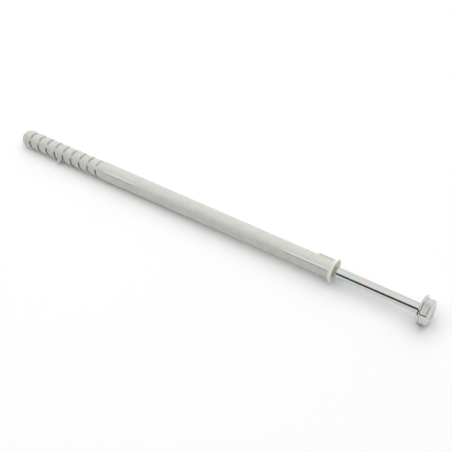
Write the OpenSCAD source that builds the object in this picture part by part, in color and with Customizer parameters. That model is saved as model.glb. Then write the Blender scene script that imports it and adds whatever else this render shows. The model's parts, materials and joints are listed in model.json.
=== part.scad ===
// Frame fixing: a moulded nylon sleeve with its hex washer head screw pushed part of the way in.
// It is driven through a frame into one drilled hole, and the screw then spreads the toothed end.
// Millimetres. The fixing lies on the floor as it comes to rest, on its nose and on the head's washer.
// +X runs from the nose to the head, +Z is up, and the floor is z = 0 under the middle of the fixing.

/* [Sleeve] */
// Outside diameter of the plain tube, which is the size of the drilled hole
sleeve_d = 10; // [9:0.5:14]
// Length of the sleeve, from the tip of its nose to the face of its collar
sleeve_len = 200; // [150:1:260]
// Gap between the bore and the thread that is pushed through it
thread_gap = 0.1; // [0.05:0.05:0.3]
// How far the countersunk collar stands out of the tube
collar_lip = 1.95; // [1:0.05:4]
// Length of the collar's cone, from the tube to its square edge
collar_cone = 2.4; // [1.5:0.1:4]
// Length of the collar's square edge
collar_edge = 0.6; // [0.4:0.1:1.5]
// Width of the collar's face, around the countersunk mouth
collar_face = 0.6; // [0.4:0.1:1]

/* [Expansion zone] */
// Length of the nose, up to the first groove
nose_len = 6; // [5.5:0.5:14]
// Length of the rounded end of the nose
dome_len = 4.4; // [3:0.1:5]
// Diameter of the nose's flat end
nose_d = 4.4; // [3.8:0.1:5]
// Number of teeth
tooth_count = 8; // [4:1:14]
// Distance from one groove to the next
tooth_pitch = 5.5; // [4:0.1:8]
// How far a tooth's edge towards the collar lies below the tube's surface
tooth_drop = 0.1; // [0:0.05:0.3]
// Rise of a tooth from its heel to that edge, which bites when the sleeve is pulled
tooth_rise = 0.35; // [0.1:0.05:0.6]
// Width of the grooves between the teeth
groove_w = 0.9; // [0.5:0.1:1.4]
// Slope of the grooves on the lower side, from the webs up to the slit
groove_slope_low = 31; // [0:1:35]
// Slope of the grooves on the upper side, from the webs up to the slit
groove_slope_top = 15; // [0:1:35]
// Thickness of the two webs along the parting line, which carry the teeth
web_w = 2; // [1:0.1:3]
// Bore between the teeth and through the nose, which the screw forces open
zone_bore_d = 3; // [2.5:0.1:3.6]
// How much longer than the screw's point the funnel between the two bores is
funnel_lead = 1; // [0.5:0.5:4]
// Width of the slit that lets the two sides of the zone spread
slit_w = 0.8; // [0.4:0.1:1.2]

/* [Ribs and wings] */
// Width of the thin ribs on the parting line
rib_w = 0.7; // [0.4:0.1:1.2]
// Height of the thin ribs, of the ears and of the ring above the tube
rib_h = 0.2; // [0.1:0.05:0.2]
// Length of the ribs behind the teeth
front_rib_len = 21; // [10:0.5:30]
// Length of the ribs below the collar
rear_rib_len = 27.5; // [15:0.5:35]
// Distance of the ring around the tube from the collar's face
ring_back = 19; // [12:0.5:25]
// Thickness of the wings below the collar and of the ears on the teeth
wing_w = 1.2; // [0.8:0.1:2]
// Height of the wings above the tube
wing_h = 1.0; // [0.5:0.1:1.8]
// Length of the upper wing, below the collar's cone
wing_len_top = 8.5; // [5:0.5:14]
// Length of the lower wing, below the collar's cone
wing_len_low = 4.5; // [3:0.5:14]
// Length of an ear along its tooth
ear_len = 1.8; // [1:0.1:3]

/* [Screw] */
// Diameter over the thread
thread_d = 7; // [6.5:0.1:7]
// Length of the thread, point included
thread_len = 75; // [50:1:110]
// Diameter of the smooth shank
shank_d = 5.9; // [5:0.1:6.4]
// How far the point reaches past the end of the slit
point_in = 2; // [0:0.5:4]
// Length of the point
point_len = 9; // [5:0.5:12]
// Diameter of the blunt end of the point
point_d = 2.4; // [1.5:0.1:3]
// Length of shank that still stands out of the sleeve
screw_out = 51; // [30:1:60]

/* [Head] */
// Width of the forged washer around the corners of the hexagon
washer_lip = 1; // [0.5:0.1:2.5]
// Thickness of the washer at its edge
washer_edge = 0.8; // [0.6:0.1:1.6]
// Thickness of the washer at the foot of the hexagon
washer_root = 1.4; // [1:0.1:2.2]
// Width across the flats of the hexagon
hex_af = 13; // [10:0.5:15]
// Height of the whole head
head_h = 6.1; // [4.5:0.1:9]
// Angle of the chamfer around the end of the hexagon
hex_chamfer = 30; // [15:1:45]
// Diameter of the recess that forging leaves in the end
dish_d = 9; // [5:0.5:9.5]
// Depth of that recess
dish_depth = 0.6; // [0.3:0.1:1.2]
// Radius of the fillet between shank and washer
neck_r = 0.8; // [0.4:0.1:1.5]

/* [Position] */
// Height angle of the parting line on the -Y side
web_up = 48; // [30:1:60]
// Height angle of one flat of the hexagon on the -Y side
flat_up = 60; // [0:1:60]

/* [Hidden] */
$fn = 96;
eps = 0.01;
sleeve_r = sleeve_d / 2;
bore_r = max(thread_d, shank_d) / 2 + thread_gap;
collar_r = sleeve_r + collar_lip;
tooth_r = sleeve_r - tooth_drop;
zone_end = nose_len + tooth_count * tooth_pitch;
// How far the grooves rise from the webs to the slit, on either side
peak_low = sleeve_r * tan(groove_slope_low);
peak_top = sleeve_r * tan(groove_slope_top);
slit_start = nose_len + min(peak_low, peak_top);
slit_end = zone_end + max(peak_low, peak_top);
// The plain tube starts where the last groove has passed
groove_clear = 0.3;
tube_start = slit_end + groove_w / 2 + groove_clear;
// The screw waits with its point in the funnel, at the end of the expansion zone
tip_z = slit_end - point_in;
funnel_end = tip_z + point_len;
funnel_len = point_len + funnel_lead;
rib_r = sleeve_r + rib_h;
wing_r = sleeve_r + wing_h;
collar_z = sleeve_len - collar_edge - collar_cone;
mouth_r = collar_r - collar_face;
ring_w = 0.6;
rib_taper = 2;
rib_gap = 1.5;
wing_ramp = 1.5;
nub_r = 0.8;
middle_tooth = ceil(tooth_count / 2);
hex_r = hex_af / (2 * cos(30));
washer_r = hex_r + washer_lip;
washer_z = sleeve_len + screw_out;
// The hexagon's sharp corners are rounded a little, as forging leaves them
corner_r = hex_r - 0.2;
chamfer_r = hex_af / 2 - 0.4;
// The fixing touches the floor at the nose's widest ring and at the near edge of the washer
rest_tilt = atan((washer_r - tooth_r) / (washer_z - dome_len));
nose_rise = tooth_r * cos(rest_tilt) - dome_len * sin(rest_tilt);
middle = (sleeve_len + screw_out + head_h) / 2;

// Lays a piece that was drawn upright along +X, turned about its own axis by the given angle
module at_rest(turn) {
    translate([-middle, 0, nose_rise])
        rotate([0, 90 - rest_tilt, 0])
            rotate([0, 0, turn])
                children();
}

// The nose is the end of an ellipse, cut off square where it is as wide as its flat face
function dome_points(steps) =
    let (start = asin(nose_d / 2 / tooth_r), long = dome_len / cos(start))
        [
            for (i = [0 : steps])
                let (angle = start + (90 - start) * i / steps)
                    [tooth_r * sin(angle), dome_len - long * cos(angle)]
        ];

// Each tooth is a cone that widens towards the collar and ends in a step
function tooth_points() = [
    for (i = [0 : tooth_count - 1])
        each [
            [tooth_r - tooth_rise, nose_len + i * tooth_pitch + eps],
            [tooth_r, nose_len + (i + 1) * tooth_pitch]
        ]
];

// Outline of the sleeve from nose to mouth, turned solid
module sleeve_body() {
    rotate_extrude()
        polygon(concat(
            [[0, 0]],
            dome_points(12),
            [[tooth_r, nose_len]],
            tooth_points(),
            [
                [sleeve_r, tube_start],
                [sleeve_r, collar_z],
                [collar_r, sleeve_len - collar_edge],
                [collar_r, sleeve_len],
                [0, sleeve_len]
            ]
        ));
}

// The bore: narrow between the teeth, a funnel, the wide bore and the countersunk mouth
module sleeve_bore() {
    mouth_depth = mouth_r - bore_r;
    rotate_extrude()
        polygon([
            [0, -1],
            [zone_bore_d / 2, -1],
            [zone_bore_d / 2, funnel_end - funnel_len],
            [bore_r, funnel_end],
            [bore_r, sleeve_len - mouth_depth],
            [mouth_r, sleeve_len],
            [mouth_r, sleeve_len + 1],
            [0, sleeve_len + 1]
        ]);
}

// One side's groove is a chevron that climbs from both webs to a peak at the slit. It runs straight
// in along Y as far as the web, which is the way that the mould opens.
module groove(peak) {
    half = groove_w / 2;
    translate([0, sleeve_d, 0])
        rotate([90, 0, 0])
            linear_extrude(height = sleeve_d - web_w / 2)
                polygon([
                    [-sleeve_r, -half],
                    [0, peak - half],
                    [sleeve_r, -half],
                    [sleeve_r, half],
                    [0, peak + half],
                    [-sleeve_r, half]
                ]);
}

// The grooves are cut from both halves of the mould, so the webs on the parting line stay
module grooves() {
    for (i = [0 : tooth_count])
        translate([0, 0, nose_len + i * tooth_pitch]) {
            groove(peak_low);
            mirror([0, 1, 0])
                groove(peak_top);
        }
}

// The slit splits the zone across the webs, so that the screw can spread it. It runs from the first
// groove's lower peak to the last groove's higher one.
module slit() {
    translate([-slit_w / 2, -sleeve_d, slit_start])
        cube([slit_w, 2 * sleeve_d, slit_end - slit_start]);
}

// A thin rib on the parting line, tapered down to the tube at both ends
module rib(from, to) {
    root = sleeve_r - 0.5;
    for (side = [0, 180])
        rotate([0, 0, side])
            rotate([90, 0, 0])
                translate([0, 0, -rib_w / 2])
                    linear_extrude(height = rib_w)
                        polygon([
                            [root, from],
                            [sleeve_r, from],
                            [rib_r, from + rib_taper],
                            [rib_r, to - rib_taper],
                            [sleeve_r, to],
                            [root, to]
                        ]);
}

// A wing stiffens the collar from below and keeps the sleeve from turning. It rises out of the tube
// over a short ramp and runs on under the cone.
module wing(long) {
    root = sleeve_r - 0.5;
    start = collar_z - long;
    rotate([0, -90, 0])
        translate([0, 0, -wing_w / 2])
            linear_extrude(height = wing_w)
                polygon([
                    [start, root],
                    [start, sleeve_r],
                    [start + wing_ramp, wing_r],
                    [sleeve_len - collar_edge - (collar_r - wing_r), wing_r],
                    [sleeve_len - collar_edge, root]
                ]);
}

// A round nub at the front of the lower wing
module nub() {
    root = sleeve_r - 0.5;
    translate([0, root, collar_z - wing_len_low])
        rotate([-90, 0, 0])
            cylinder(r = nub_r, h = wing_r - root);
}

// A low ear beside the slit grips the wall of the hole while the screw turns. It starts behind the
// peak of the groove ahead of its tooth.
module ear(tooth, peak) {
    start = nose_len + (tooth - 1) * tooth_pitch + peak + groove_w / 2;
    intersection() {
        translate([slit_w / 2, tooth_r - 1, start])
            cube([wing_w, 2, ear_len]);
        cylinder(r = rib_r, h = sleeve_len);
    }
}

module sleeve() {
    color([0.80, 0.80, 0.77])
        at_rest(270 - web_up)
            difference() {
                union() {
                    sleeve_body();
                    rib(tube_start + rib_gap, tube_start + rib_gap + front_rib_len);
                    rib(collar_z - rear_rib_len, collar_z + collar_cone);
                    translate([0, 0, sleeve_len - ring_back])
                        cylinder(r = rib_r, h = ring_w);
                    wing(wing_len_low);
                    nub();
                    mirror([0, 1, 0])
                        wing(wing_len_top);
                    ear(middle_tooth, peak_low);
                    mirror([0, 1, 0])
                        ear(middle_tooth + 2, peak_top);
                }
                grooves();
                slit();
                sleeve_bore();
            }
}

// Point, thread and shank in one turned outline. The thread's turns lie within thread_d.
module screw_stem() {
    runout = abs(thread_d - shank_d) / 2;
    steps = 6;
    rotate_extrude()
        polygon(concat(
            [
                [0, tip_z],
                [point_d / 2, tip_z],
                [thread_d / 2, tip_z + point_len],
                [thread_d / 2, tip_z + thread_len - runout],
                [shank_d / 2, tip_z + thread_len]
            ],
            [
                for (i = [0 : steps])
                    let (angle = 90 * i / steps)
                        [
                            shank_d / 2 + neck_r * (1 - cos(angle)),
                            washer_z - neck_r * (1 - sin(angle))
                        ]
            ],
            [[0, washer_z]]
        ));
}

// The washer is forged in one with the hexagon, and rises a little towards it
module washer() {
    rotate_extrude()
        polygon([
            [0, washer_z],
            [washer_r, washer_z],
            [washer_r, washer_z + washer_edge],
            [corner_r, washer_z + washer_root],
            [0, washer_z + washer_root]
        ]);
}

module hexagon() {
    rise = (corner_r - chamfer_r) * tan(hex_chamfer);
    intersection() {
        translate([0, 0, washer_z])
            cylinder(r = hex_r, h = head_h, $fn = 6);
        rotate_extrude()
            polygon([
                [0, washer_z],
                [corner_r, washer_z],
                [corner_r, washer_z + head_h - rise],
                [chamfer_r, washer_z + head_h],
                [0, washer_z + head_h]
            ]);
    }
}

module dish() {
    top = washer_z + head_h;
    rotate_extrude()
        polygon([
            [0, top - dish_depth],
            [dish_d / 2 - dish_depth, top - dish_depth],
            [dish_d / 2, top],
            [dish_d / 2, top + 1],
            [0, top + 1]
        ]);
}

module screw() {
    color([0.78, 0.80, 0.82])
        at_rest(270 - flat_up - 30)
            difference() {
                union() {
                    screw_stem();
                    washer();
                    hexagon();
                }
                dish();
            }
}

sleeve();
screw();
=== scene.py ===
# %% [markdown]
# A frame fixing on a white table. A long nylon sleeve with a toothed end holds a zinc plated screw
# that has a hexagon and a washer. Both pieces were first built as solids at their real size. Here
# they get the fine forms and finishes that the eye looks for: rounded moulded edges, the mould's
# matte skin on the teeth, a rolled thread and bright plating.

# %% Load the solids
import math
import json

import bpy
import bmesh
from mathutils import Matrix, Vector

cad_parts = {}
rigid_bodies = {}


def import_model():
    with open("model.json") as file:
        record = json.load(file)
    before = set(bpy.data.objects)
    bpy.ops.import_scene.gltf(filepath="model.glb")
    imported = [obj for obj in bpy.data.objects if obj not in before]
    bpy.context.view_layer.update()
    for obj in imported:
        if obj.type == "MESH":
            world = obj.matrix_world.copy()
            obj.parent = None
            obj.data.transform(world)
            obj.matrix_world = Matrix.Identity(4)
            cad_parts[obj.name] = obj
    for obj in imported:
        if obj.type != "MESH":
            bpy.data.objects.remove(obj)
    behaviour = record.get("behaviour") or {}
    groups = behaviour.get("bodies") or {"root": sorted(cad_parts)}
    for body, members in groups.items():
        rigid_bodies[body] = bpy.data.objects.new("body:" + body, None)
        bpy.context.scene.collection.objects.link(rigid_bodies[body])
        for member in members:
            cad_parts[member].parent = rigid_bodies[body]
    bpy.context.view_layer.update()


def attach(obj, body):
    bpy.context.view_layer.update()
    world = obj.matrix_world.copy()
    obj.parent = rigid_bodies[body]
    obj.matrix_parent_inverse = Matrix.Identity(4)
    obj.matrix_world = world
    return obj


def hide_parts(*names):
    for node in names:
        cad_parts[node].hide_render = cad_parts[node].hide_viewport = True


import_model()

# %% [markdown]
# Sizes are in millimetres, as on a maker's drawing. Both pieces are drawn upright, with the nose at
# zero height, and are laid down at the end. The first group of values is the sleeve, the second its
# toothed end, the third the screw. Places that follow from other sizes are worked out from them, so
# a longer sleeve or a wider hexagon takes everything else along.

# %% Sizes of the sleeve and the screw
MM = 0.001
SLEEVE_R, SLEEVE_LEN, BORE_R = 5.0, 200.0, 3.6
COLLAR_R, COLLAR_CONE, COLLAR_EDGE, MOUTH_R = 6.95, 2.4, 0.6, 6.35
COLLAR_Z = SLEEVE_LEN - COLLAR_EDGE - COLLAR_CONE

NOSE_LEN, DOME_LEN, NOSE_R = 6.0, 4.4, 2.2
TOOTH_COUNT, TOOTH_PITCH, TOOTH_R, TOOTH_RISE = 8, 5.5, 4.9, 0.35
GROOVE_W, WEB_W, SLIT_W, ZONE_BORE_R = 0.9, 2.0, 0.8, 1.5
SLOPE_LOW, SLOPE_TOP = 31, 15
PEAK_LOW, PEAK_TOP = (SLEEVE_R * math.tan(math.radians(slope)) for slope in (SLOPE_LOW, SLOPE_TOP))
ZONE_END = NOSE_LEN + TOOTH_COUNT * TOOTH_PITCH
SLIT_END = ZONE_END + PEAK_LOW

THREAD_R, THREAD_LEN, SHANK_R, SCREW_OUT = 3.5, 75.0, 2.95, 51.0
POINT_LEN, POINT_R, TIP_SHORT = 9.0, 1.2, 2.0
WASHER_Z = SLEEVE_LEN + SCREW_OUT
HEAD_H, HEX_AF, WASHER_EDGE, WASHER_ROOT, WASHER_RIM = 6.1, 13.0, 0.8, 1.4, 1.0
HALF_SIDE = math.radians(30)
WASHER_R = HEX_AF / (2 * math.cos(HALF_SIDE)) + WASHER_RIM
TIP_Z = SLIT_END - TIP_SHORT
print("screw under its washer:", round(WASHER_Z - TIP_Z, 1), "mm")

# %% [markdown]
# The fixing rests on its nose and on the rim of its washer, which is wider, so its axis rises a
# little towards the head. One matrix does the laying down: it turns the piece about its own axis,
# tips it over, lifts it and changes millimetres to metres. The turn brings a chosen line of the
# drawing to a chosen height on the camera's side. For the sleeve that is the parting line of its
# mould, at 0 degrees on the drawing, and for the screw the middle of a flat, at 30.

# %% Lay a piece down
REST_TILT = math.atan((WASHER_R - TOOTH_R) / (WASHER_Z - DOME_LEN))
NOSE_RISE = TOOTH_R * math.cos(REST_TILT) - DOME_LEN * math.sin(REST_TILT)
MIDDLE = (WASHER_Z + HEAD_H) / 2
PARTING_LINE, PARTING_LINE_UP = 0, 48
HEX_FLAT, HEX_FLAT_UP = 30, 60
CAMERA_SIDE = 270


def resting(line, up):
    """The matrix from an upright drawing in millimetres to the resting place in metres. The line at
    this angle of the drawing comes to lie up degrees above the table."""
    spin = Matrix.Rotation(math.radians(CAMERA_SIDE - up - line), 4, "Z")
    tip = Matrix.Rotation(math.radians(90) - REST_TILT, 4, "Y")
    lift = Matrix.Translation((-MIDDLE, 0, NOSE_RISE))
    return Matrix.Scale(MM, 4) @ lift @ tip @ spin


SLEEVE_PLACE = resting(PARTING_LINE, PARTING_LINE_UP)
SCREW_PLACE = resting(HEX_FLAT, HEX_FLAT_UP)
print("axis rises", round(math.degrees(REST_TILT), 2), "degrees")

# %% [markdown]
# The camera comes first, so that every later step can be looked at from the photograph's side. Its
# height, direction, distance and lens were fitted to the object's edges in the photograph, which
# takes in about 250 mm from 0.9 m away.

# %% Camera
CAMERA_UP = math.radians(51.06)
CAMERA_TURN = math.radians(29.01)
CAMERA_ROLL = math.radians(0.79)
CAMERA_DISTANCE = 0.9243
FOCAL_PIXELS = 1678.9
PHOTO_PIXELS = 452
SENSOR_MM = 36
AIM = Vector((0.00360, 0.00082, 0.0038))

towards = Vector((math.sin(CAMERA_TURN) * math.cos(CAMERA_UP),
                  -math.cos(CAMERA_TURN) * math.cos(CAMERA_UP),
                  math.sin(CAMERA_UP)))
camera_data = bpy.data.cameras.new("camera")
camera_data.sensor_width = SENSOR_MM
camera_data.lens = SENSOR_MM * FOCAL_PIXELS / PHOTO_PIXELS
camera = bpy.data.objects.new("camera", camera_data)
facing = towards.to_track_quat("Z", "Y").to_matrix() @ Matrix.Rotation(CAMERA_ROLL, 3, "Z")
camera.matrix_world = Matrix.Translation(AIM + CAMERA_DISTANCE * towards) @ facing.to_4x4()
bpy.context.scene.collection.objects.link(camera)
bpy.context.scene.camera = camera
print("camera at", [round(v, 3) for v in camera.location], "lens", round(camera_data.lens, 1), "mm")

# %% [markdown]
# Much of a moulding's look lies in its edges. A corner between two straight lines of an outline is
# replaced with a short arc, so that it catches a thin line of light as the real edge does.
# An outline is a list of points, each with its distance from the axis, its height and the radius
# of its corner.

# %% Round the corners of an outline
ARC_STEPS = 3


def softened(outline):
    """The outline as (radius, height) points, with each corner's arc put in."""
    points = []
    for i, (radius, height, rounding) in enumerate(outline):
        here = Vector((radius, height))
        if rounding == 0 or i in (0, len(outline) - 1):
            points.append(here)
            continue
        back = (Vector(outline[i - 1][:2]) - here).normalized()
        ahead = (Vector(outline[i + 1][:2]) - here).normalized()
        half = back.angle(ahead) / 2
        reach = rounding / math.tan(half)
        start, end = here + back * reach, here + ahead * reach
        centre = here + (back + ahead).normalized() * rounding / math.sin(half)
        for k in range(ARC_STEPS + 1):
            straight = start.lerp(end, k / ARC_STEPS) - centre
            points.append(centre + straight.normalized() * rounding)
    return points


print("a corner becomes", len(softened([(1, 0, 0), (1, 1, 0.2), (0, 1, 0)])) - 2, "points")

# %% [markdown]
# A turned or moulded bar could be made with the Screw modifier, which sweeps one outline round, but
# neither the grooves nor the hexagon are round. So both pieces are skins of rings: one ring of
# corners for each height, joined ring by ring. A ring may have any shape, and one that has shrunk
# to a point closes the end.

# %% Join rings into a mesh
SAME_POINT = 0.0005


def ring_mesh(name, rings):
    """A mesh through rings of equally many corners."""
    mesh_builder = bmesh.new()
    rows = [[mesh_builder.verts.new(corner) for corner in ring] for ring in rings]
    for low, high in zip(rows, rows[1:]):
        for i in range(len(low)):
            j = (i + 1) % len(low)
            mesh_builder.faces.new((low[i], low[j], high[j], high[i]))
    bmesh.ops.remove_doubles(mesh_builder, verts=mesh_builder.verts, dist=SAME_POINT)
    mesh = bpy.data.meshes.new(name)
    mesh_builder.to_mesh(mesh)
    mesh_builder.free()
    return mesh


def new_piece(name, mesh):
    """An object for a mesh, in the scene."""
    piece = bpy.data.objects.new(name, mesh)
    bpy.context.scene.collection.objects.link(piece)
    return piece


print("corners closer than", SAME_POINT, "mm will be merged")

# %% [markdown]
# Around the sleeve the corners aren't evenly spread. They crowd together where an edge runs along
# the sleeve: at the thin ribs on the parting line, at the webs that the teeth stand on, and at the
# slit. One quarter is written down and mirrored for the other three. Angles are counted from the
# parting line, and each column knows how far the slit drops it below the surface. On either side of
# the slit one column drops right through and stays upright, because it is the slit's wall.

# %% Columns around the sleeve
LIP = 0.13
HAIR = 0.01
CORE_R = WEB_W / 2
RIB_HALF, RIB_FOOT = 0.06, 0.5
BY_THE_WEB = (0.8, 1.02, 1.25)
PLAIN_ANGLES = range(19, 81, 5)
RIGHT_THROUGH = 99.0

quarter = [(math.degrees(math.asin(y / SLEEVE_R)), 0) for y in (RIB_HALF, RIB_FOOT, *BY_THE_WEB)]
quarter += [(angle, 0) for angle in PLAIN_ANGLES]
slit_half = SLIT_W / 2
quarter += [(math.degrees(math.acos((slit_half + x) / SLEEVE_R)), drop)
            for x, drop in ((LIP, 0), (LIP / 3, LIP / 5), (0, LIP), (-HAIR, RIGHT_THROUGH))]

columns = []
for start, direction in ((0, 1), (180, -1), (180, 1), (360, -1)):
    columns += [((start + direction * angle) % 360, drop) for angle, drop in quarter]
columns += [(0, 0), (180, 0), (90, RIGHT_THROUGH), (270, RIGHT_THROUGH)]
columns.sort()
print(len(columns), "columns around the sleeve")

# %% [markdown]
# The grooves between the teeth are flat cuts from both halves of the mould, as deep as the web. Each
# is a chevron that climbs from both webs to a peak at the slit, higher on the lower side. Booleans
# could cut them from a bar, but every edge would come out sharp. So a ring of the toothed end is
# worked out as if its groove were square, and is then sheared: the nearer a corner lies to the plane
# of the slit, the further it moves along the sleeve. The walls also slant as they go in, in
# millimetres a millimetre of depth. The lower ones slant towards the nose, most of all near the slit,
# so that the camera, which stands on the head's side, looks through them into the dark bore. The
# upper ones slant the other way and show a pale floor.

# %% One ring of the sleeve
SLANT_LOW, SLANT_BY_SLIT, SLANT_TOP = 0.85, 1.0, -0.5
LATE_LOW = 0.4


def sleeve_ring(radius, height, drop=0.0, cut=False, lean=0.0, slit=False, rib=0.0):
    """The corners of one ring. cut sinks it to the groove's floor, drop rounds a groove's lip, lean
    is its share of the shear, slit opens the slit, and rib is how far the two ribs reach. The lower
    grooves start a little later than the upper ones."""
    ring = []
    for angle, slit_drop in columns:
        x, y = math.cos(math.radians(angle)), math.sin(math.radians(angle))
        floor = CORE_R / max(abs(y), HAIR)
        out = radius
        if cut:
            out = min(out, floor)
        elif drop:
            out = max(radius - drop, min(radius, floor))
        if slit and slit_drop:
            out = max(min(out, radius - slit_drop), CORE_R)
        if abs(y) * SLEEVE_R < RIB_HALF + HAIR:
            out = max(out, rib)
        corner = Vector((x * out, y * out, height))
        if slit and slit_drop == RIGHT_THROUGH and abs(x) > HAIR:
            corner.x = math.copysign(slit_half - HAIR, x)
        climb = PEAK_LOW * (1 - abs(x)) + LATE_LOW if y > 0 else PEAK_TOP * (1 - abs(x))
        slant = SLANT_LOW + SLANT_BY_SLIT * (1 - abs(x)) ** 2 if y > 0 else SLANT_TOP
        corner.z += lean * (climb - slant * (SLEEVE_R - out))
        ring.append(corner)
    return ring


def groove_wall(height, direction, radius, slit):
    """The rings of one wall of a groove, from the rounded lip down to the floor."""
    rings = []
    for k in range(ARC_STEPS + 1):
        turn = math.radians(90 * k / ARC_STEPS)
        away, drop = LIP * (1 - math.sin(turn)), LIP * (1 - math.cos(turn))
        rings.append(sleeve_ring(radius, height + direction * away, drop, lean=1, slit=slit))
    rings.append(sleeve_ring(radius, height, cut=True, lean=1, slit=slit))
    return rings if direction < 0 else rings[::-1]


print("a groove wall has", len(groove_wall(0, 1, TOOTH_R, True)), "rings")

# %% [markdown]
# One tooth runs from the middle of a groove to the middle of the next. It's low behind the groove
# and high before the next one, so that it slips into the hole and bites when it is pulled. All the
# teeth are alike, so one mesh is enough, and Geometry Nodes will repeat it.

# %% One tooth
heel_r = TOOTH_R - TOOTH_RISE
HEEL_STEP, HEEL_SHARE = 0.1, 0.08
tooth_rings = [sleeve_ring(TOOTH_R, 0, cut=True, lean=1, slit=True),
               sleeve_ring(heel_r, HEEL_STEP, cut=True, lean=1, slit=True)]
tooth_rings += groove_wall(GROOVE_W / 2, 1, heel_r + TOOTH_RISE * HEEL_SHARE, True)
for share in (0.3, 0.5, 0.7):
    tooth_rings.append(sleeve_ring(heel_r + TOOTH_RISE * share, TOOTH_PITCH * share, lean=1, slit=True))
tooth_rings += groove_wall(TOOTH_PITCH - GROOVE_W / 2, -1, TOOTH_R, True)
tooth_rings.append(sleeve_ring(TOOTH_R, TOOTH_PITCH, cut=True, lean=1, slit=True))
tooth = new_piece("tooth", ring_mesh("tooth", tooth_rings))
print("one tooth:", len(tooth.data.polygons), "faces")

# %% [markdown]
# The rest of the sleeve is two more skins. The nose is a short dome with a blunt end. The tube starts
# in the last groove, runs up past the ribs and the ring, flares out to the collar, turns into the
# countersunk mouth and comes back down the wide bore into the funnel, where it is closed for now.

# %% The outlines of the two ends
NOSE_EDGE, SHOULDER = 0.3, 0.6
dome_start = math.asin(NOSE_R / TOOTH_R)
dome_long = DOME_LEN / math.cos(dome_start)
DOME_STEPS = 14
dome = []
for i in range(DOME_STEPS + 1):
    angle = dome_start + (math.pi / 2 - dome_start) * i / DOME_STEPS
    dome.append((TOOTH_R * math.sin(angle), DOME_LEN - dome_long * math.cos(angle),
                 NOSE_EDGE if i == 0 else 0))

FUNNEL_END = TIP_Z + POINT_LEN
FUNNEL_START = TIP_Z - 1
FUNNEL_CUT = SLIT_END + 3


def funnel_radius(height):
    """Radius of the funnel at a height."""
    share = (height - FUNNEL_START) / (FUNNEL_END - FUNNEL_START)
    return ZONE_BORE_R + (BORE_R - ZONE_BORE_R) * share


collar_outline = [
    (SLEEVE_R, COLLAR_Z - 1.5, 0),
    (SLEEVE_R, COLLAR_Z, 0.8),
    (COLLAR_R, SLEEVE_LEN - COLLAR_EDGE, 0.15),
    (COLLAR_R, SLEEVE_LEN, 0.15),
    (MOUTH_R, SLEEVE_LEN, 0.1),
    (BORE_R, SLEEVE_LEN - MOUTH_R + BORE_R, 0.3),
    (BORE_R, FUNNEL_END, 0),
    (funnel_radius(FUNNEL_CUT), FUNNEL_CUT, 0),
    (0, FUNNEL_CUT, 0),
]
nose_rings = [sleeve_ring(radius, height) for radius, height in softened([(0, 0, 0)] + dome)]
nose_rings.append(sleeve_ring(TOOTH_R, NOSE_LEN - SHOULDER, lean=1))
nose_rings += groove_wall(NOSE_LEN - GROOVE_W / 2, -1, TOOTH_R, False)
nose_rings.append(sleeve_ring(TOOTH_R, NOSE_LEN, cut=True, lean=1, slit=True))
print("nose:", len(nose_rings), "rings")

# %% [markdown]
# One tree of nodes can make what repeats. The next helpers build such a tree from a few lines: one
# makes the tree with its named inputs, one adds a node and wires it, and one runs the tree on a
# piece and hands back the plain mesh that comes out.

# %% Helpers for node trees


def new_tree(name, kind, inputs, outputs):
    """A node tree with named inputs and outputs, each with its socket type."""
    tree = bpy.data.node_groups.new(name, kind)
    for label, socket in inputs.items():
        tree.interface.new_socket(label, in_out="INPUT", socket_type="NodeSocket" + socket)
    for label, socket in outputs.items():
        tree.interface.new_socket(label, in_out="OUTPUT", socket_type="NodeSocket" + socket)
    return tree


def add_node(tree, kind, inputs, **settings):
    """A node whose settings are set first. Each input then gets a value or a link."""
    node = tree.nodes.new(kind)
    for label, value in settings.items():
        setattr(node, label, value)
    for label, value in inputs.items():
        if isinstance(value, bpy.types.NodeSocket):
            tree.links.new(value, node.inputs[label])
        else:
            node.inputs[label].default_value = value
    return node


def plain_mesh(piece):
    """The mesh of a piece with its modifiers worked in. The modifiers are then removed."""
    graph = bpy.context.evaluated_depsgraph_get()
    mesh = bpy.data.meshes.new_from_object(piece.evaluated_get(graph))
    piece.modifiers.clear()
    return mesh


def run_tree(tree, piece, values):
    """The plain mesh that a geometry tree makes on a piece, with these values on its inputs."""
    modifier = piece.modifiers.new(tree.name, "NODES")
    modifier.node_group = tree
    for item in tree.interface.items_tree:
        if item.in_out == "INPUT" and item.name in values:
            modifier[item.identifier] = values[item.name]
    return plain_mesh(piece)


def open_edges(mesh):
    """How many edges of a mesh don't have a face on both sides."""
    mesh_builder = bmesh.new()
    mesh_builder.from_mesh(mesh)
    count = sum(1 for edge in mesh_builder.edges if len(edge.link_faces) != 2)
    mesh_builder.free()
    return count


print("open edges of one tooth, which has neighbours on both sides:", open_edges(tooth.data))

# %% [markdown]
# Moulded nylon and plated steel both have a fine grain and a faint cloudiness, in other sizes. So
# that is a group of shader nodes which each material uses with its own numbers. It reads a place on
# the piece in millimetres, with the third number along the axis. Stretch draws the grain out along
# the axis, as a drawn wire or a long mould has it.

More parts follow.
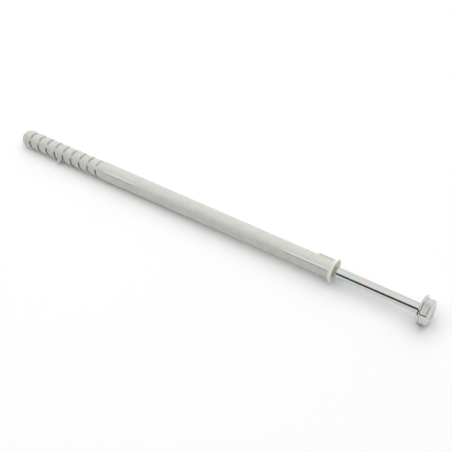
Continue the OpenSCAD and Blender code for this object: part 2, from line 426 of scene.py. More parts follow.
# %% Shared node group: grain and clouds
grain_group = new_tree(
    "grain_and_clouds", "ShaderNodeTree",
    {"Place": "Vector", "Grains per mm": "Float", "Stretch": "Float", "Cloud Size": "Float"},
    {"Grain": "Float", "Streaks": "Float", "Clouds": "Float"})
group_in = grain_group.nodes.new("NodeGroupInput").outputs
squeeze = add_node(grain_group, "ShaderNodeMath", {0: 1.0, 1: group_in["Stretch"]}, operation="DIVIDE")
along = add_node(grain_group, "ShaderNodeCombineXYZ", {"X": 1.0, "Y": 1.0, "Z": squeeze.outputs[0]})
drawn = add_node(grain_group, "ShaderNodeVectorMath", {0: group_in["Place"], 1: along.outputs[0]},
                 operation="MULTIPLY")
per_mm = add_node(grain_group, "ShaderNodeMath", {0: 1.0, 1: group_in["Cloud Size"]}, operation="DIVIDE")
grain = add_node(grain_group, "ShaderNodeTexNoise",
                 {"Vector": group_in["Place"], "Scale": group_in["Grains per mm"], "Detail": 3.0})
streaks = add_node(grain_group, "ShaderNodeTexNoise",
                   {"Vector": drawn.outputs[0], "Scale": group_in["Grains per mm"], "Detail": 2.0})
clouds = add_node(grain_group, "ShaderNodeTexNoise",
                  {"Vector": group_in["Place"], "Scale": per_mm.outputs[0], "Detail": 4.0})
add_node(grain_group, "NodeGroupOutput",
         {"Grain": grain.outputs[0], "Streaks": streaks.outputs[0], "Clouds": clouds.outputs[0]})
print("grain group:", len(grain_group.nodes), "nodes")

# %% [markdown]
# A finished piece lies tilted on the table, but its grain follows its own axis. A Mapping node of
# the texture type undoes the laying down, so the patterns read the upright drawing in millimetres.
# On that drawing a mask is a few simple sums: a ramp is a soft border between two places, and a
# window is a soft band between two borders. Masks of this kind stay sharp however near the camera
# comes, which a painted image doesn't.

# %% Helpers for materials


def new_material(name):
    """An empty material with its shader and output. Hands back material, tree and shader."""
    material = bpy.data.materials.new(name)
    material.use_nodes = True
    tree = material.node_tree
    tree.nodes.clear()
    shader = tree.nodes.new("ShaderNodeBsdfPrincipled")
    output = tree.nodes.new("ShaderNodeOutputMaterial")
    tree.links.new(shader.outputs["BSDF"], output.inputs["Surface"])
    return material, tree, shader


def place_on_piece(tree, place):
    """A socket with the place on the upright drawing in millimetres."""
    coordinates = tree.nodes.new("ShaderNodeTexCoord")
    location, rotation, scale = place.decompose()
    mapping = add_node(tree, "ShaderNodeMapping",
                       {"Vector": coordinates.outputs["Object"], "Location": location,
                        "Rotation": rotation.to_euler(), "Scale": scale}, vector_type="TEXTURE")
    return mapping.outputs["Vector"]


def math_node(tree, operation, first, second=0.0, third=0.0):
    """The result of one sum on numbers or sockets."""
    values = {0: first, 1: second, 2: third} if operation == "MULTIPLY_ADD" else {0: first, 1: second}
    return add_node(tree, "ShaderNodeMath", values, operation=operation).outputs[0]


def blend_colours(tree, factor, first, second):
    """A colour between two, by a factor. The first may be a socket too."""
    node = add_node(tree, "ShaderNodeMix", {"Factor": factor}, data_type="RGBA")
    for label, colour in (("A_Color", first), ("B_Color", second)):
        socket = next(s for s in node.inputs if s.identifier == label)
        if isinstance(colour, bpy.types.NodeSocket):
            tree.links.new(colour, socket)
        else:
            socket.default_value = (*colour, 1.0)
    return next(s for s in node.outputs if s.identifier == "Result_Color")


def product(tree, mask, *others):
    """Masks multiplied, so that it is 1 only where all of them are."""
    for other in others:
        mask = math_node(tree, "MULTIPLY", mask, other)
    return mask


def ramp(tree, value, low, high):
    """A mask that goes from 0 to 1 as a value passes from low to high."""
    return add_node(tree, "ShaderNodeMapRange",
                    {"Value": value, "From Min": low, "From Max": high}).outputs[0]


def window(tree, value, low, high, soft):
    """A mask that is 1 between low and high, and 0 outside, with soft ends."""
    return product(tree, ramp(tree, value, low, low + soft), ramp(tree, value, high, high - soft))


RELIEF_DEPTH = 0.02 * MM
print("the relief of a bump is", RELIEF_DEPTH / MM, "mm")

# %% [markdown]
# Light grey nylon is satin and lets a little light in under its skin. The mould was spark eroded at
# the teeth, so they are matte and speckled, and the long tube was polished along its length, so it
# has faint lines. The two halves of the mould meet in a hair line along both webs. First come the
# masks that say where each of these is.

# %% Nylon: masks
RIB_CREST, RIB_TAPER = 0.45, 2.0
TUBE_START = SLIT_END + GROOVE_W / 2 + 0.3
RIB_START = TUBE_START + 1.5
RIBS = ((RIB_START, RIB_START + 21), (COLLAR_Z - 27.5, COLLAR_Z + COLLAR_CONE))
nylon, tree, shader = new_material("grey_nylon")
place = place_on_piece(tree, SLEEVE_PLACE)
skin = add_node(tree, "ShaderNodeGroup", {"Place": place, "Grains per mm": 1.5, "Stretch": 30.0,
                                          "Cloud Size": 4.0}, node_tree=grain_group)
grain, streaks, clouds = skin.outputs
axes = add_node(tree, "ShaderNodeSeparateXYZ", {0: place})
across, beside = (math_node(tree, "ABSOLUTE", axes.outputs[axis]) for axis in "XY")
on_tube = ramp(tree, axes.outputs["Z"], ZONE_END + 0.5, ZONE_END + 3)
on_teeth = math_node(tree, "SUBTRACT", 1.0, on_tube)
speckle = product(tree, math_node(tree, "SUBTRACT", grain, 0.5), on_teeth)
# the flange's mask: a painted glow in its colour, and more light let in under its skin
flange_glow_and_light_in = ramp(tree, axes.outputs["Z"], COLLAR_Z, COLLAR_Z + 1)
print("nylon:", len(tree.nodes), "nodes for the masks")

# %% [markdown]
# The ribs are a fifth of a millimetre wide at their crests. The light alone would hardly draw them,
# so a highlight is painted on the crest, a little paler, and shade is painted on the strip below it,
# a little darker.

# %% Nylon: masks of the painted highlight and shade at the ribs
SHADE_END, SHADE_SOFT, SHADE_ACROSS = 1.3, 0.25, 4.5
# painted highlight: a paler colour on the crests of the ribs
crest_painted_highlight = product(tree, ramp(tree, beside, RIB_FOOT + 0.06, RIB_FOOT - 0.04),
                ramp(tree, across, SLEEVE_R + 0.05, SLEEVE_R + 0.2))
by_rib = math_node(tree, "ADD", *(window(tree, axes.outputs["Z"], low, high, RIB_TAPER)
                                  for low, high in RIBS))
# painted shade: a darker colour on the strip just below each rib
shade_painted_below_rib = product(tree, window(tree, axes.outputs["Y"], RIB_FOOT - 0.1, SHADE_END, SHADE_SOFT),
                ramp(tree, across, SHADE_ACROSS, SHADE_ACROSS + 0.2), by_rib)
print("ribs run from", [round(low, 1) for low, _ in RIBS], "to", [round(high, 1) for _, high in RIBS])

# %% [markdown]
# Then the masks are put to use. The colour wanders between two greys. In the thin flange of the
# collar a paler, warmer colour is painted in as a painted glow of the light that comes through, and on
# the ribs the painted highlight and shade go in. A subsurface weight lets the light in. It is kept
# low on the body, because it also blurs fine edges away.

# %% Nylon: colour and surface
NYLON_DARK, NYLON_LIGHT = (0.580, 0.582, 0.543), (0.635, 0.637, 0.596)
NYLON_PAINTED_SHADE, NYLON_PAINTED_HIGHLIGHT = (0.51, 0.512, 0.478), (0.73, 0.735, 0.695)
NYLON_PAINTED_GLOW = (0.76, 0.745, 0.685)
SPECKLE, SPECKLE_RELIEF, LINE_RELIEF, RELIEF = 8.0, 2.0, 0.25, 0.6
TUBE_ROUGH, TEETH_ROUGHER, CLOUDS_ROUGHER = 0.40, 0.14, 0.08
LIGHT_IN, FLANGE_LIGHT_IN, LIGHT_REACH = 0.15, 0.85, 0.0018
SEAM_FROM, SEAM_TO = 0.10, 0.02

tone = math_node(tree, "MULTIPLY_ADD", speckle, SPECKLE, ramp(tree, clouds, 0.3, 0.7))
colour = blend_colours(tree, tone, NYLON_DARK, NYLON_LIGHT)
# painted shade below the ribs, a painted highlight on their crests and a painted glow in the flange
for mask, other_colour in ((shade_painted_below_rib, NYLON_PAINTED_SHADE), (crest_painted_highlight, NYLON_PAINTED_HIGHLIGHT), (flange_glow_and_light_in, NYLON_PAINTED_GLOW)):
    colour = blend_colours(tree, mask, colour, other_colour)
tree.links.new(colour, shader.inputs["Base Color"])
matte = math_node(tree, "MULTIPLY_ADD", on_teeth, TEETH_ROUGHER, TUBE_ROUGH)
matte = math_node(tree, "MULTIPLY_ADD", clouds, CLOUDS_ROUGHER, matte)
tree.links.new(matte, shader.inputs["Roughness"])
relief = math_node(tree, "MULTIPLY_ADD", speckle, SPECKLE_RELIEF,
                   product(tree, streaks, math_node(tree, "MULTIPLY", on_tube, LINE_RELIEF)))
relief = math_node(tree, "ADD", relief, ramp(tree, beside, SEAM_FROM, SEAM_TO))
bump = add_node(tree, "ShaderNodeBump", {"Strength": RELIEF, "Distance": RELIEF_DEPTH, "Height": relief})
tree.links.new(bump.outputs["Normal"], shader.inputs["Normal"])
tree.links.new(math_node(tree, "MULTIPLY_ADD", flange_glow_and_light_in, FLANGE_LIGHT_IN, LIGHT_IN),
               shader.inputs["Subsurface Weight"])
shader.inputs["Subsurface Radius"].default_value = (1.0, 0.9, 0.7)
shader.inputs["Subsurface Scale"].default_value = LIGHT_REACH
shader.inputs["IOR"].default_value = 1.53
print("nylon:", len(tree.nodes), "nodes")

# %% [markdown]
# Bright zinc is a thin mirror on a forged and drawn blank, so it shows the blank's faint lines and
# hollows. Its film gives it a cool tint with warmer clouds. The flat that faces the camera has a
# duller, yellowish film, and along its outer edge a dark reflection that is painted into the colour.

# %% Zinc plating: masks
FILM_FROM, FILM_TO, FILM_SOFT = 1.0, 5.6, 1.2
# where the painted dark reflection lies on the flat
REFLECTION_FROM, REFLECTION_TO, REFLECTION_SOFT = 4.4, 5.6, 0.5
REFLECTION_HALF, REFLECTION_ENDS = 2.9, 0.9
FLAT_R = HEX_AF / 2 - 0.1
zinc, tree, shader = new_material("bright_zinc")
place = place_on_piece(tree, SCREW_PLACE)
skin = add_node(tree, "ShaderNodeGroup", {"Place": place, "Grains per mm": 2.2, "Stretch": 14.0,
                                          "Cloud Size": 6.0}, node_tree=grain_group)
grain, streaks, clouds = skin.outputs
axes = add_node(tree, "ShaderNodeSeparateXYZ", {0: place})


def distance_towards(degrees):
    """How far a place is from the screw's axis in a direction of the drawing."""
    part = math_node(tree, "MULTIPLY", axes.outputs["X"], math.cos(math.radians(degrees)))
    return math_node(tree, "MULTIPLY_ADD", axes.outputs["Y"], math.sin(math.radians(degrees)), part)


outwards, sideways = distance_towards(HEX_FLAT), distance_towards(HEX_FLAT + 90)
above_seat = math_node(tree, "SUBTRACT", axes.outputs["Z"], WASHER_Z)
film = product(tree, ramp(tree, outwards, FLAT_R - 0.2, FLAT_R), ramp(tree, clouds, 0.15, 0.6),
               window(tree, above_seat, FILM_FROM, FILM_TO, FILM_SOFT))
# painted reflection: a dark band painted along the outer edge of the flat that faces the camera
painted_dark_reflection = product(tree, ramp(tree, outwards, FLAT_R - 0.4, FLAT_R), ramp(tree, grain, 0.35, 0.55),
               window(tree, above_seat, REFLECTION_FROM, REFLECTION_TO, REFLECTION_SOFT),
               window(tree, sideways, -REFLECTION_HALF, REFLECTION_HALF, REFLECTION_ENDS))
print("zinc:", len(tree.nodes), "nodes for the masks")

# %% [markdown]
# A metal has no colour under its skin, so its base colour is the tint of its mirror image. The faint
# roughness and relief come from the same grain as the clouds, drawn out along the screw.

# %% Zinc plating: colour and surface
ZINC_COOL, ZINC_WARM = (0.60, 0.65, 0.645), (0.66, 0.645, 0.60)
ZINC_FILM, ZINC_PAINTED_REFLECTION = (0.47, 0.455, 0.405), (0.12, 0.12, 0.11)
ZINC_ROUGH, LINES_ROUGHER, GRAIN_ROUGHER, ZINC_RELIEF = 0.03, 0.12, 0.06, 0.35

colour = blend_colours(tree, ramp(tree, clouds, 0.42, 0.58), ZINC_COOL, ZINC_WARM)
# the film is the flat's own tint, and the second colour is a painted dark reflection
for mask, other_colour in ((film, ZINC_FILM), (painted_dark_reflection, ZINC_PAINTED_REFLECTION)):
    colour = blend_colours(tree, mask, colour, other_colour)
tree.links.new(colour, shader.inputs["Base Color"])
dull = math_node(tree, "MULTIPLY_ADD", streaks, LINES_ROUGHER, ZINC_ROUGH)
dull = math_node(tree, "MULTIPLY_ADD", grain, GRAIN_ROUGHER, dull)
tree.links.new(dull, shader.inputs["Roughness"])
relief = math_node(tree, "ADD", streaks, grain)
bump = add_node(tree, "ShaderNodeBump", {"Strength": ZINC_RELIEF, "Distance": RELIEF_DEPTH,
                                         "Height": relief})
tree.links.new(bump.outputs["Normal"], shader.inputs["Normal"])
shader.inputs["Metallic"].default_value = 1.0
print("zinc:", len(tree.nodes), "nodes")

# %% [markdown]
# Now the tube. Its outline has the ring as a low step. The ribs could be bars of their own, but thin
# bars on a round tube leave bad corners, so they are columns of the same skin that rise and fall
# with the height along the tube.

# %% Tube, collar and bore
RING_Z, RING_W, RING_H = SLEEVE_LEN - 19, 0.6, 0.2
TUBE_FOOT_R = TOOTH_R + 0.02
PLAIN_STATIONS = (95.0, 115.0, 135.0, 155.0)


def rib_crest(height):
    """How far the ribs' crests are from the axis at this height. Zero is where there is no rib."""
    rise = max(min(height - low, high - height) for low, high in RIBS)
    return SLEEVE_R + RIB_CREST * min(1.0, rise / RIB_TAPER) if rise > 0 else 0.0


tube_rings = [sleeve_ring(TOOTH_R, ZONE_END, cut=True, lean=1, slit=True)]
tube_rings += groove_wall(ZONE_END + GROOVE_W / 2, 1, TUBE_FOOT_R, False)
for share in (0.75, 0.5, 0.25, 0.0):
    height = TUBE_START - share * (TUBE_START - ZONE_END - GROOVE_W / 2 - LIP)
    tube_rings.append(sleeve_ring(SLEEVE_R - (SLEEVE_R - TUBE_FOOT_R) * share, height, lean=share))
stations = [height for low, high in RIBS for height in (low, low + RIB_TAPER, high - RIB_TAPER)]
stations += [RIBS[0][1], *PLAIN_STATIONS, RIBS[1][0] + 8]
stations = sorted(z for z in stations if z < RING_Z - 1)
tube_rings += [sleeve_ring(SLEEVE_R, z, rib=rib_crest(z)) for z in stations]
ring_outline = [(SLEEVE_R, RING_Z - 1, 0), (SLEEVE_R, RING_Z, 0.05), (SLEEVE_R + RING_H, RING_Z, 0.08),
                (SLEEVE_R + RING_H, RING_Z + RING_W, 0.08), (SLEEVE_R, RING_Z + RING_W, 0.05)]
for radius, height in softened(ring_outline + collar_outline):
    on_outside = radius > SLEEVE_R - HAIR and height < SLEEVE_LEN - COLLAR_EDGE
    tube_rings.append(sleeve_ring(radius, height, rib=rib_crest(height) if on_outside else 0))
print("tube, collar and bore:", len(tube_rings), "rings")

# %% [markdown]
# The tree sets a copy of the tooth at each step along a line, joins the row to the nose and the
# tube, and merges the corners that fall on each other. What comes out is one closed skin. Its floors
# reach further in than the narrow bore, so that drilling the bore opens every groove into it.

# %% Repeat the tooth and close the sleeve
MERGE_GAP = 0.002
row_tree = new_tree(
    "row_of_teeth", "GeometryNodeTree",
    {"Tooth": "Geometry", "Tooth Count": "Int", "First Groove": "Vector", "Pitch": "Vector",
     "Nose": "Object", "Tube": "Object", "Material": "Material"},
    {"Sleeve": "Geometry"})
tree_in = row_tree.nodes.new("NodeGroupInput").outputs
steps = add_node(row_tree, "GeometryNodeMeshLine",
                 {"Count": tree_in["Tooth Count"], "Start Location": tree_in["First Groove"],
                  "Offset": tree_in["Pitch"]}, mode="OFFSET")
copies = add_node(row_tree, "GeometryNodeInstanceOnPoints",
                  {"Points": steps.outputs[0], "Instance": tree_in["Tooth"]})
whole = add_node(row_tree, "GeometryNodeJoinGeometry", {0: copies.outputs[0]})
for label in ("Nose", "Tube"):
    end = add_node(row_tree, "GeometryNodeObjectInfo", {"Object": tree_in[label]})
    row_tree.links.new(end.outputs["Geometry"], whole.inputs[0])
real = add_node(row_tree, "GeometryNodeRealizeInstances", {0: whole.outputs[0]})
merged = add_node(row_tree, "GeometryNodeMergeByDistance", {0: real.outputs[0], "Distance": MERGE_GAP})
painted = add_node(row_tree, "GeometryNodeSetMaterial", {0: merged.outputs[0],
                                                         "Material": tree_in["Material"]})
add_node(row_tree, "NodeGroupOutput", {0: painted.outputs[0]})

nose = new_piece("nose", ring_mesh("nose", nose_rings))
tube = new_piece("tube", ring_mesh("tube", tube_rings))
sleeve_skin = run_tree(row_tree, tooth, {
    "Tooth Count": TOOTH_COUNT, "First Groove": (0, 0, NOSE_LEN), "Pitch": (0, 0, TOOTH_PITCH),
    "Nose": nose, "Tube": tube, "Material": nylon})
for scratch in (tooth, nose, tube):
    bpy.data.objects.remove(scratch)
print("sleeve skin:", len(sleeve_skin.polygons), "faces,", open_edges(sleeve_skin), "open edges")

# %% [markdown]
# Two wings under the collar and two ears on the teeth stand out where the mould has pockets. Each
# is a plate with rounded edges, cut out of a plain outline. The bevel is worked into the mesh at
# once, because booleans need the finished solid.

# %% A plate with rounded edges, and a ball
PLATE_EDGE = 0.15


def plate(outline, low, high, axes):
    """A plate with rounded edges. The outline lies in two of the axes, low and high along the third."""
    block = bmesh.new()
    corners = []
    for point in outline:
        place = dict(zip(axes, (*point, low)))
        corners.append(block.verts.new([place[axis] for axis in "xyz"]))
    face = block.faces.new(corners)
    lifted = bmesh.ops.extrude_face_region(block, geom=[face])["geom"]
    way = Vector([(high - low) * (axis == axes[2]) for axis in "xyz"])
    bmesh.ops.translate(block, vec=way, verts=[v for v in lifted if isinstance(v, bmesh.types.BMVert)])
    bmesh.ops.recalc_face_normals(block, faces=block.faces)
    bmesh.ops.bevel(block, geom=block.edges[:], offset=PLATE_EDGE, segments=4, profile=0.5,
                    affect="EDGES")
    return block


def ball(radius, place):
    """A little ball as a bmesh."""
    block = bmesh.new()
    bmesh.ops.create_icosphere(block, subdivisions=3, radius=radius)
    bmesh.ops.translate(block, vec=place, verts=block.verts)
    return block


print("plates get edges of", PLATE_EDGE, "mm")

# %% [markdown]
# The wings keep the sleeve from turning in its hole. Each has a ramp at its front and reaches below
# the skin, so that the two become one. The ears stand beside the slit. The lower one is soft and
# sticks out, and the upper one ends at the surface. The nub ahead of the lower wing and the pip
# behind the teeth are balls that show only their crowns.

# %% Wings, ears, nub and pip
WING_HALF, WING_R, WING_TOP_LEN, WING_LOW_LEN = 0.6, 6.0, 9.8, 5.6
WING_RAMP, WING_FOOT, WING_TAIL, WING_SUNK_R = 1.5, 0.8, 1.5, 4.5
EAR_LEN, EAR_W, EAR_R, FLAT_EAR_R, EAR_BACK = 1.6, 1.2, 6.2, SLEEVE_R - 0.1, 0.1
EAR_ROOT_R, EAR_FOOT = 3.6, ((4.2, 2.4), (2.2, 2.4))
NUB_R, NUB_PLACE = 0.9, (2.0, 4.7, COLLAR_Z - 4.8)
PIP_R, PIP_PLACE = 0.7, (1.5, 4.7, 56.3)


def wing(side, length):
    """A wing with a ramp at its front. Its outline lies in the plane of the axis."""
    start, end = COLLAR_Z - length, COLLAR_Z + WING_TAIL
    outline = [(start - WING_FOOT, side * WING_SUNK_R), (start, side * (SLEEVE_R - 0.02)),
               (start + WING_RAMP, side * WING_R), (end, side * WING_R), (end, side * WING_SUNK_R)]
    return plate(outline, -WING_HALF, WING_HALF, "zyx")


def ear(tooth, peak, side, tip_r):
    """An ear beside the slit, behind the peak of the groove ahead of its tooth."""
    start = NOSE_LEN + (tooth - 1) * TOOTH_PITCH + peak - EAR_BACK
    tip = [(slit_half, EAR_ROOT_R), (slit_half, tip_r), (slit_half + EAR_W, tip_r)]
    return plate([(x, side * y) for x, y in (*tip, *EAR_FOOT)], start, start + EAR_LEN, "xyz")


added = [ear(4, PEAK_LOW, 1, EAR_R), ear(6, PEAK_TOP, -1, FLAT_EAR_R),
         wing(1, WING_LOW_LEN), wing(-1, WING_TOP_LEN), ball(NUB_R, NUB_PLACE), ball(PIP_R, PIP_PLACE)]
print("wings, ears, nub and pip:", len(added), "blocks")

# %% [markdown]
# Booleans then do what the mould does. The union makes one closed solid of the skin and all that
# stands on it, and the difference takes out the narrow bore and the funnel. The funnel's cutter
# stops a hair inside the part of the funnel that is already there, so no two faces coincide.

# %% One closed sleeve
CUT_GAP, CUT_PAST, HOLE_EDGE = 0.02, 0.3, 0.15
cutter_outline = [(0, -1), (ZONE_BORE_R + HOLE_EDGE, -1), (ZONE_BORE_R + HOLE_EDGE, 0),
                  (ZONE_BORE_R, HOLE_EDGE), (ZONE_BORE_R, FUNNEL_START),
                  (funnel_radius(FUNNEL_CUT) - CUT_GAP, FUNNEL_CUT - CUT_GAP),
                  (funnel_radius(FUNNEL_CUT) - CUT_GAP, FUNNEL_CUT + CUT_PAST), (0, FUNNEL_CUT + CUT_PAST)]
cutter = bmesh.new()
cutter.from_mesh(ring_mesh("cutter", [sleeve_ring(radius, height) for radius, height in cutter_outline]))


def combined(name, mesh, steps):
    """One closed mesh from a skin and a list of solids, each with UNION or DIFFERENCE."""
    piece = new_piece(name, mesh)
    for operation, solid in steps:
        if solid.calc_volume(signed=True) < 0:
            bmesh.ops.reverse_faces(solid, faces=solid.faces)
        helper_mesh = bpy.data.meshes.new(name)
        solid.to_mesh(helper_mesh)
        solid.free()
        modifier = piece.modifiers.new("boolean", "BOOLEAN")
        modifier.operation = operation
        modifier.solver = "MANIFOLD"
        modifier.object = new_piece(name + "_helper", helper_mesh)
    result = plain_mesh(piece)
    for scratch in [o for o in bpy.data.objects if o.name.startswith(name)]:
        bpy.data.objects.remove(scratch)
    return result


sleeve_mesh = combined("sleeve_solid", sleeve_skin,
                       [("UNION", solid) for solid in added] + [("DIFFERENCE", cutter)])
print("sleeve:", len(sleeve_mesh.polygons), "faces,", open_edges(sleeve_mesh), "open edges")

# %% [markdown]
# A finished mesh is laid down, its faces are shaded smooth, and only real edges are kept sharp.
# Then the piece takes the place of its solid.

# %% Lay down and shade
SHARP_ANGLE = math.radians(38)


def finish_piece(name, mesh, place, material, node):
    """The finished piece from its upright mesh in millimetres."""
    mesh.name = name
    mesh.transform(place)
    mesh.materials.clear()
    mesh.materials.append(material)
    mesh.polygons.foreach_set("material_index", [0] * len(mesh.polygons))
    mesh.polygons.foreach_set("use_smooth", [True] * len(mesh.polygons))
    mesh.set_sharp_from_angle(angle=SHARP_ANGLE)
    mesh.update()
    piece = new_piece(name, mesh)
    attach(piece, "root")
    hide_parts(node)
    return piece


sleeve_piece = finish_piece("nylon_sleeve", sleeve_mesh, SLEEVE_PLACE, nylon, "sleeve")
print("sleeve box in mm:", [round(1000 * v, 1) for v in sleeve_piece.dimensions])

# %% [markdown]
# The hexagon is a ring whose radius changes with the angle. The chamfer meets each flat in an arc,
# because a cone is cut through a flat there. So each column of the hexagon ends at its own height.

# %% Rings of the screw
CORNER_R, CHAMFER_R, CHAMFER_ANGLE = WASHER_R - 1.2, HEX_AF / 2 - 0.4, math.radians(30)
SIDE_STEPS = 16
TOP_Z = WASHER_Z + HEAD_H
screw_angles = [math.radians(60 * (side + k / SIDE_STEPS)) for side in range(6) for k in range(SIDE_STEPS)]


def hexagon_radius(angle, inset=0.0):
    """Distance from the axis to the hexagon at this angle, with its corners rounded."""
    from_corner = abs((angle + HALF_SIDE) % (2 * HALF_SIDE) - HALF_SIDE)
    return min((HEX_AF / 2 - inset) / math.cos(HALF_SIDE - from_corner), CORNER_R - inset)


def turned_ring(radius, height):
    """A round ring of the screw."""
    return [(radius * math.cos(a), radius * math.sin(a), height) for a in screw_angles]


def hexagon_ring(height, inset):
    """A level ring on the flats."""
    radii = [hexagon_radius(angle, inset) for angle in screw_angles]
    return [(r * math.cos(a), r * math.sin(a), height) for r, a in zip(radii, screw_angles)]


def chamfer_ring(inset, drop):
    """A ring whose corners lie where the chamfer cuts the flats, or a little below."""
    cuts = [TOP_Z - (hexagon_radius(a) - CHAMFER_R) * math.tan(CHAMFER_ANGLE) for a in screw_angles]
    return [(x, y, cut - drop) for (x, y, _), cut in zip(hexagon_ring(0, inset), cuts)]


print(len(screw_angles), "columns around the screw")

# %% [markdown]
# The stem is turned: a blunt point, a core for the thread, the smooth shank and a fillet into the
# washer, which is a shallow cone. Three rings make the fillet at the hexagon's foot and three round
# its upper edge. The face has the shallow dish that forging leaves.

# %% Screw without its thread
THREAD_CORE_R, NECK_R, DISH_R, DISH_DEPTH = 2.62, 0.8, 4.5, 0.6
FOOT_Z = WASHER_Z + WASHER_ROOT
FOOT_FILLET = ((0.0, -0.02), (0.08, 0.0), (0.3, 0.0))
UPPER_EDGE = ((0.0, 0.10), (0.03, 0.02), (0.10, -0.05))
neck = [(SHANK_R + NECK_R * (1 - math.cos(a)), WASHER_Z - NECK_R * (1 - math.sin(a)), 0)
        for a in (math.radians(15 * k) for k in range(7))]
stem_outline = [
    (0, TIP_Z, 0),
    (POINT_R, TIP_Z, 0.25),
    (THREAD_CORE_R, TIP_Z + POINT_LEN, 1.0),
    (THREAD_CORE_R, TIP_Z + THREAD_LEN - 1.5, 0.5),
    (SHANK_R, TIP_Z + THREAD_LEN, 0.5),
    *neck,
    (WASHER_R, WASHER_Z, 0.25),
    (WASHER_R, WASHER_Z + WASHER_EDGE, 0.3),
    (CORNER_R + 0.15, FOOT_Z - 0.03, 0),
]
dish_outline = [(CHAMFER_R + 0.2, TOP_Z - 0.115, 0), (CHAMFER_R, TOP_Z, 0.25), (DISH_R, TOP_Z, 0.2),
                (DISH_R - DISH_DEPTH, TOP_Z - DISH_DEPTH, 0.2), (0, TOP_Z - DISH_DEPTH, 0)]
screw_rings = [turned_ring(radius, height) for radius, height in softened(stem_outline)]
screw_rings += [hexagon_ring(FOOT_Z + up, inset) for up, inset in FOOT_FILLET]
screw_rings += [chamfer_ring(inset, drop) for inset, drop in UPPER_EDGE]
screw_rings += [turned_ring(radius, height) for radius, height in softened(dish_outline)[1:]]
screw_mesh = ring_mesh("screw", screw_rings)
print("screw without thread:", len(screw_mesh.polygons), "faces,", open_edges(screw_mesh), "open edges")

# %% [markdown]
# A thread is one ridge that follows a helix, so it is a curve with a profile swept along it. The
# Screw modifier could make one too, but it can't fade. Here the helix narrows with the core over
# the point, where the ridge fades in, and it fades out before the shank, as rolled threads do.

# %% Tree of the thread
THREAD_RUNOUT, FAINTEST, FADE_START = 3.0, 0.03, 0.5

thread_tree = new_tree(
    "rolled_thread", "GeometryNodeTree",
    {"Turns": "Float", "Length": "Float", "Radius": "Float", "Height": "Float", "Half Foot": "Float",
     "Half Crest": "Float", "Start": "Vector", "Material": "Material"},
    {"Thread": "Geometry"})
tree_in = thread_tree.nodes.new("NodeGroupInput").outputs
helix = add_node(thread_tree, "GeometryNodeCurveSpiral",
                 {"Resolution": 40, "Rotations": tree_in["Turns"], "Start Radius": tree_in["Radius"],
                  "End Radius": tree_in["Radius"], "Height": tree_in["Length"], "Reverse": True})
spot = thread_tree.nodes.new("GeometryNodeInputPosition").outputs[0]
height = add_node(thread_tree, "ShaderNodeSeparateXYZ", {0: spot}).outputs["Z"]
narrowing = add_node(thread_tree, "ShaderNodeMapRange",
                     {"Value": height, "From Max": POINT_LEN, "To Min": POINT_R / THREAD_CORE_R})
sideways = add_node(thread_tree, "ShaderNodeCombineXYZ",
                    {"X": narrowing.outputs[0], "Y": narrowing.outputs[0], "Z": 1.0})
narrowed = add_node(thread_tree, "ShaderNodeVectorMath", {0: spot, 1: sideways.outputs[0]},
                    operation="MULTIPLY")
on_core = add_node(thread_tree, "GeometryNodeSetPosition",
                   {0: helix.outputs[0], "Position": narrowed.outputs[0]})
upright = add_node(thread_tree, "GeometryNodeSetCurveNormal", {0: on_core.outputs[0]}, mode="Z_UP")
fade_in = add_node(thread_tree, "ShaderNodeMapRange",
                   {"Value": height, "From Min": FADE_START, "From Max": POINT_LEN, "To Min": FAINTEST})
to_end = add_node(thread_tree, "ShaderNodeMath", {0: tree_in["Length"], 1: height}, operation="SUBTRACT")
fade_out = add_node(thread_tree, "ShaderNodeMapRange",
                    {"Value": to_end.outputs[0], "From Max": THREAD_RUNOUT, "To Min": FAINTEST})
fade = add_node(thread_tree, "ShaderNodeMath", {0: fade_in.outputs[0], 1: fade_out.outputs[0]},
                operation="MULTIPLY")
profile = thread_tree.nodes.new("GeometryNodeCurvePrimitiveQuadrilateral")
profile.mode = "POINTS"
corners = ((0.0, "Half Foot", 1), (1.0, "Half Crest", 1), (1.0, "Half Crest", -1), (0.0, "Half Foot", -1))
for number, (reach, half, side) in enumerate(corners, start=1):
    outward = add_node(thread_tree, "ShaderNodeMath", {0: tree_in["Height"], 1: reach},
                       operation="MULTIPLY")
    across = add_node(thread_tree, "ShaderNodeMath", {0: tree_in[half], 1: side}, operation="MULTIPLY")
    corner = add_node(thread_tree, "ShaderNodeCombineXYZ", {"X": outward.outputs[0],
                                                            "Y": across.outputs[0]})
    thread_tree.links.new(corner.outputs[0], profile.inputs[f"Point {number}"])
swept = add_node(thread_tree, "GeometryNodeCurveToMesh",
                 {"Curve": upright.outputs[0], "Profile Curve": profile.outputs[0],
                  "Scale": fade.outputs[0], "Fill Caps": True})
moved = add_node(thread_tree, "GeometryNodeTransform", {0: swept.outputs[0],
                                                        "Translation": tree_in["Start"]})
real = add_node(thread_tree, "GeometryNodeRealizeInstances", {0: moved.outputs[0]})
plated = add_node(thread_tree, "GeometryNodeSetMaterial", {0: real.outputs[0],
                                                           "Material": tree_in["Material"]})
add_node(thread_tree, "NodeGroupOutput", {0: plated.outputs[0]})
print("thread tree:", len(thread_tree.nodes), "nodes")

# %% [markdown]
# The tree runs once, on an empty piece. It's a right-hand thread with a coarse pitch, as a screw for
# nylon has. Its foot is sunk a little into the core, so that the union leaves no gap.

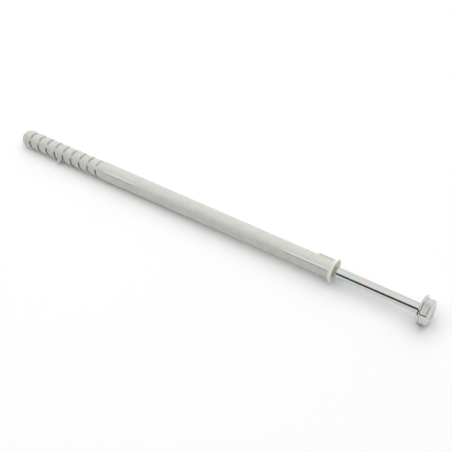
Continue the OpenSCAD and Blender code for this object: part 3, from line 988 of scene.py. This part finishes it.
# %% Thread and finished screw
THREAD_PITCH, THREAD_FOOT, THREAD_CREST, THREAD_SUNK = 3.6, 1.7, 0.35, 0.12
thread_length = THREAD_LEN - THREAD_RUNOUT
thread_piece = new_piece("thread", bpy.data.meshes.new("thread"))
thread_mesh = run_tree(thread_tree, thread_piece, {
    "Turns": thread_length / THREAD_PITCH, "Length": thread_length, "Radius": THREAD_CORE_R - THREAD_SUNK,
    "Height": THREAD_R - THREAD_CORE_R + THREAD_SUNK, "Half Foot": THREAD_FOOT / 2,
    "Half Crest": THREAD_CREST / 2, "Start": (0, 0, TIP_Z), "Material": zinc})
bpy.data.objects.remove(thread_piece)
thread_solid = bmesh.new()
thread_solid.from_mesh(thread_mesh)
screw_mesh = combined("screw_solid", screw_mesh, [("UNION", thread_solid)])
finish_piece("plated_screw", screw_mesh, SCREW_PLACE, zinc, "screw")
print("screw:", len(screw_mesh.polygons), "faces,", open_edges(screw_mesh), "open edges")

# %% [markdown]
# The table is a plain white sheet, wide enough to reach past the picture from every side. It isn't
# part of the fixing.

# %% Table
TABLE_HALF, TABLE_WHITE = 3.0, (0.925, 0.925, 0.925, 1)
table_mesh = bpy.data.meshes.new("table")
table_corners = [(x * TABLE_HALF, y * TABLE_HALF, 0) for x, y in ((-1, -1), (1, -1), (1, 1), (-1, 1))]
table_mesh.from_pydata(table_corners, [], [(0, 1, 2, 3)])
table = new_piece("table", table_mesh)
white, tree, shader = new_material("white_table")
shader.inputs["Base Color"].default_value = TABLE_WHITE
shader.inputs["Roughness"].default_value = 0.6
shader.inputs["Specular IOR Level"].default_value = 0.2
table_mesh.materials.append(white)
print("table", 2 * TABLE_HALF, "m wide")

# %% [markdown]
# The picture has the light of a small studio tent, with a dark room on the camera's side. A wide soft
# panel hangs overhead. The plated shank mirrors it in its upper half and the table in its lower
# half, and the gap between the two is its dark stripe. So the panel's front edge is placed by the
# angle at which the shank should turn dark. A second light over nearly the same place, nearer the
# nose and the camera, has no mirror image, so it lifts the table and the nylon alone.

# %% Panel and fill light
PANEL_UP, PANEL_FRONT_ANGLE, PANEL_BACK, PANEL_WIDE = 1.2, math.radians(45), 2.9, 2.6
PANEL_RADIANCE, PANEL_COLOUR, WHITE = 0.97, (1.0, 1.0, 0.99), (1.0, 1.0, 1.0)
FILL_UP, FILL_LEFT, FILL_RIGHT, FILL_BACK, FILL_AHEAD, FILL_RADIANCE = 1.15, -2.0, 0.7, 1.75, 0.25, 0.60


def area_light(name, low, high, height, radiance, colour):
    """A level panel that shines down with a given brightness, whatever its size."""
    wide, deep = high[0] - low[0], high[1] - low[1]
    data = bpy.data.lights.new(name, "AREA")
    data.shape = "RECTANGLE"
    data.size, data.size_y = wide, deep
    data.energy = radiance * math.pi * wide * deep
    data.color = colour
    lamp = bpy.data.objects.new(name, data)
    lamp.location = ((low[0] + high[0]) / 2, (low[1] + high[1]) / 2, height)
    bpy.context.scene.collection.objects.link(lamp)
    return lamp


panel_front = -PANEL_UP / math.tan(PANEL_FRONT_ANGLE)
area_light("panel", (-PANEL_WIDE / 2, panel_front), (PANEL_WIDE / 2, PANEL_BACK), PANEL_UP,
           PANEL_RADIANCE, PANEL_COLOUR)
fill_light = area_light("fill_light", (FILL_LEFT, panel_front - FILL_AHEAD), (FILL_RIGHT, FILL_BACK),
                        FILL_UP, FILL_RADIANCE, WHITE)
fill_light.visible_glossy = False
print("panel's front edge at", round(panel_front, 2), "m")

# %% [markdown]
# Two upright walls of light close the tent, one behind and one beyond the head. Without them the
# plating would mirror the dark room at its edges. The second is seen in mirrors only, because its
# light would make the collar too bright.

# %% Walls of light and the room
WALL_HALF, BACK_WALL_HALF, END_WALL_HALF = 0.6, 2.5, 2.0
BACK_RADIANCE, END_RADIANCE = 0.75, 0.6
ROOM_COLOUR = (0.08, 0.083, 0.087, 1)

back_wall = area_light("back_wall", (-BACK_WALL_HALF, -WALL_HALF), (BACK_WALL_HALF, WALL_HALF),
                       WALL_HALF, BACK_RADIANCE, WHITE)
back_wall.location.y = PANEL_BACK
back_wall.rotation_euler = (math.radians(-90), 0, 0)
end_wall = area_light("end_wall", (-WALL_HALF, -END_WALL_HALF), (WALL_HALF, END_WALL_HALF),
                      WALL_HALF, END_RADIANCE, WHITE)
end_wall.location = (PANEL_WIDE / 2 + 0.3, 1.0, WALL_HALF)
end_wall.rotation_euler = (0, math.radians(90), 0)
end_wall.visible_diffuse = False
world = bpy.data.worlds.new("room")
bpy.context.scene.world = world
world.use_nodes = True
world.node_tree.nodes["Background"].inputs["Color"].default_value = ROOM_COLOUR
bpy.context.scene.view_settings.view_transform = "Standard"
